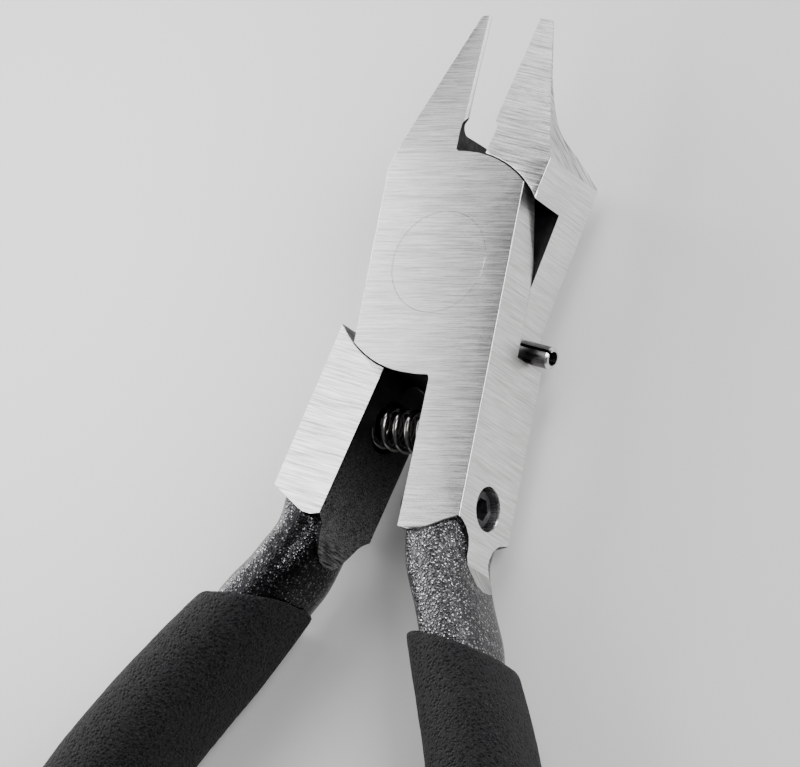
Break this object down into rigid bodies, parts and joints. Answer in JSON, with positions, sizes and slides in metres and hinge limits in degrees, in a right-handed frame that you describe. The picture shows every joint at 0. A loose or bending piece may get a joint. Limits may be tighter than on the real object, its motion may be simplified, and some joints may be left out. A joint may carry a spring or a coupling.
{
  "type": "sprue nippers",
  "caption": "Thin-bladed flush cutting nippers for plastic sprue, with a lap joint, coil return spring, stop pin, set screw and foam grips, shown open.",
  "frame": {"origin": "on the pivot axis, on the joint's flat back face", "axes": "+Z out of the joint's front face, along the pivot; +Y from the pivot towards the front lever's blade tip; +X to the right seen from the front"},
  "size_m": [0.0678, 0.1252, 0.0129],
  "materials": {
    "lever_steel": "ground steel with fine brushing on the joint and blades; dark wrinkle coating on the tangs below the joint",
    "rivet_steel": "ground flush with the joint",
    "spring_steel": "dark polished spring wire",
    "pin_steel": "rolled spring steel with a bright rim",
    "screw_black": "black oxide",
    "grip_foam": "matte charcoal foam rubber with a finely pitted skin"
  },
  "bodies": {
    "front_half": {"front_lever": "lever_steel", "pivot_rivet": "rivet_steel", "closing_stop_screw": "screw_black", "return_spring": "spring_steel", "front_grip": "grip_foam"},
    "rear_half": {"rear_lever": "lever_steel", "opening_stop_pin": "pin_steel", "rear_grip": "grip_foam"}
  },
  "joints": [
    {"name": "pivot", "type": "hinge", "parent": "front_half", "child": "rear_half", "pos_m": [0, 0, 0], "axis": [0, 0, 1], "range_deg": [0, 12.1], "stiffness_Nm_per_rad": 0.4, "springref_deg": -5.73, "deforming": ["return_spring"]}
  ]
}
